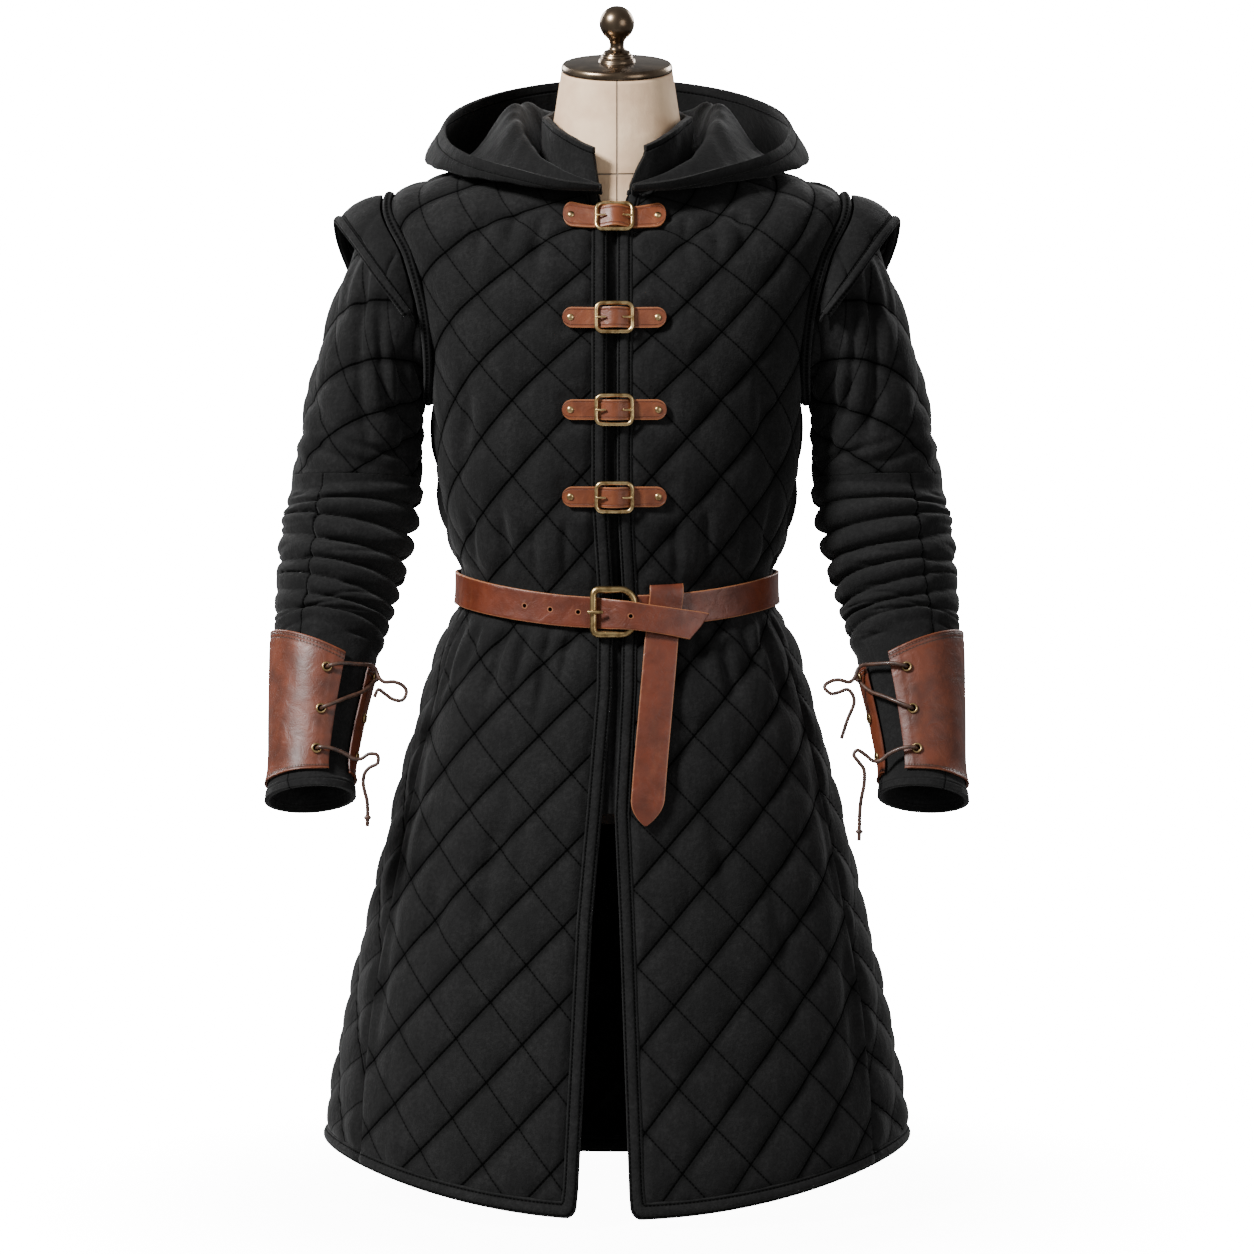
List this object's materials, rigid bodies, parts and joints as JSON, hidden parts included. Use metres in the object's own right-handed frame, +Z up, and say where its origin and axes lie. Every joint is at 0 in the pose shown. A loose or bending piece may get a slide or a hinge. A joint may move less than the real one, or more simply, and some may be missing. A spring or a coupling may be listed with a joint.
{
  "type": "hooded gambeson on a limbless dress form",
  "caption": "Hooded quilted black gambeson with leather buckle closures, belt and laced bracers, worn by a limbless dress form that stands on a four-legged stand.",
  "frame": {"origin": "on the floor under the middle of the whole part", "axes": "+Z up through the neck of the form, -Y towards the front of the coat, +X towards the wearer's left"},
  "size_m": [0.7438, 0.4329, 1.272],
  "materials": {
    "black cotton": "matt quilted cotton",
    "brown leather": "satin, slightly worn",
    "lace leather": "matt",
    "old brass": "aged, half polished",
    "dark brass": "dark bronze, brushed",
    "linen": "matt cover, smooth",
    "dark wood": "oiled"
  },
  "bodies": {
    "root": {"armhole_piping_left": "black cotton", "armhole_piping_right": "black cotton", "back": "black cotton", "belt": "brown leather", "belt_buckle": "old brass", "belt_prong": "old brass", "belt_tail": "brown leather", "binding_back": "black cotton", "binding_left": "black cotton", "binding_right": "black cotton", "bracer_left": "brown leather", "bracer_right": "brown leather", "closure_1_buckle": "old brass", "closure_1_tab_left": "brown leather", "closure_1_tab_right": "brown leather", "closure_2_buckle": "old brass", "closure_2_tab_left": "brown leather", "closure_2_tab_right": "brown leather", "closure_3_buckle": "old brass", "closure_3_tab_left": "brown leather", "closure_3_tab_right": "brown leather", "closure_4_buckle": "old brass", "closure_4_tab_left": "brown leather", "closure_4_tab_right": "brown leather", "collar": "black cotton", "eyelet_left_far_1": "old brass", "eyelet_left_far_2": "old brass", "eyelet_left_far_3": "old brass", "eyelet_left_front_1": "old brass", "eyelet_left_front_2": "old brass", "eyelet_left_front_3": "old brass", "eyelet_right_far_1": "old brass", "eyelet_right_far_2": "old brass", "eyelet_right_far_3": "old brass", "eyelet_right_front_1": "old brass", "eyelet_right_front_2": "old brass", "eyelet_right_front_3": "old brass", "form_body": "linen", "form_cap": "dark brass", "front_left": "black cotton", "front_right": "black cotton", "hood_left": "black cotton", "hood_right": "black cotton", "lace_left_lower": "lace leather", "lace_left_middle": "lace leather", "lace_left_upper": "lace leather", "lace_right_lower": "lace leather", "lace_right_middle": "lace leather", "lace_right_upper": "lace leather", "placket": "black cotton", "sleeve_lower_left": "black cotton", "sleeve_lower_right": "black cotton", "sleeve_upper_left": "black cotton", "sleeve_upper_right": "black cotton", "stand": "dark wood", "wing_left": "black cotton", "wing_piping_left": "black cotton", "wing_piping_right": "black cotton", "wing_right": "black cotton"}
  },
  "joints": []
}
